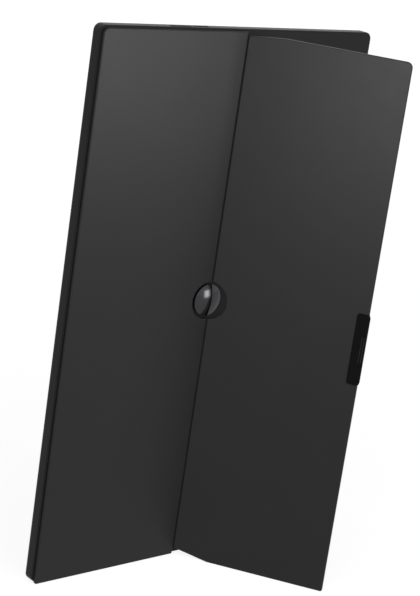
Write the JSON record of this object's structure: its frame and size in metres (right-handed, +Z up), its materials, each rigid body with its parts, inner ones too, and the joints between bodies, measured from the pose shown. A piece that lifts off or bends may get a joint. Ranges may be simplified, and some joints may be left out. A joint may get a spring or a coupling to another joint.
{
  "type": "portable monitor with folding stand cover",
  "caption": "Thin portable monitor standing on its short edge, with a folding cover on its back whose free half swings out about a crease as a leg.",
  "frame": {"origin": "middle of the monitor's bottom end face, where it stands on the table", "axes": "+Z up along the monitor's long side, +Y out of the screen, +X to the right as seen from behind, towards the folded-out wing"},
  "size_m": [0.237, 0.1046, 0.3829],
  "materials": {
    "shell": "satin moulded plastic, fine spark texture",
    "bezel": "matte black moulded plastic",
    "foam": "black foam tape",
    "screen": "anti-glare display glass, dark when off",
    "panel_plastic": "white moulded plastic",
    "film": "milky optical film",
    "acrylic": "clear acrylic",
    "led": "LED bar with yellow phosphor",
    "board": "green solder mask",
    "flex": "amber polyimide film",
    "cable": "dark flat cable",
    "chip": "black moulded packages",
    "tin": "tinned steel",
    "steel": "plain steel",
    "key": "satin grey plastic",
    "lens": "smoked plastic",
    "chrome": "polished chrome",
    "magnet": "nickel-plated magnet",
    "skin": "smooth matte coated cover skin with very fine grain",
    "lining": "dark woven lining",
    "stiffener": "pressed fibre board",
    "tape": "double-sided tape",
    "grip": "black soft rubber"
  },
  "bodies": {
    "monitor": {"rear_shell": "shell", "front_bezel": "bezel", "panel_gasket": "foam", "lcd_cell": "screen", "panel_frame": "panel_plastic", "film_stack": "film", "light_guide": "acrylic", "reflector_sheet": "film", "led_strip": "led", "driver_board": "board", "driver_flex": "flex", "panel_cable": "cable", "main_board": "board", "board_parts": "chip", "shield_can": "tin", "board_screws": "steel", "usb_socket": "tin", "switch_body": "tin", "status_lens": "lens", "stud": "chrome", "stud_plate": "steel", "stud_screw": "steel", "latch_plates": "steel", "cover_tape": "tape", "back_lining": "lining", "back_board": "stiffener", "back_skin": "skin"},
    "wing": {"wing_lining": "lining", "wing_board": "stiffener", "wing_skin": "skin", "wing_magnets": "magnet", "edge_grip": "grip"},
    "power_key": {"power_key": "key", "switch_plunger": "chip"}
  },
  "joints": [
    {"name": "wing_fold", "type": "hinge", "parent": "monitor", "child": "wing", "pos_m": [0.0014, -0.00625, 0.1912], "axis": [0, 0, -1], "range_deg": [-56, 122]},
    {"name": "power_press", "type": "slide", "parent": "monitor", "child": "power_key", "axis": [0, 0, -1], "range_m": [0, 0.00035], "stiffness_N_per_m": 2500}
  ]
}
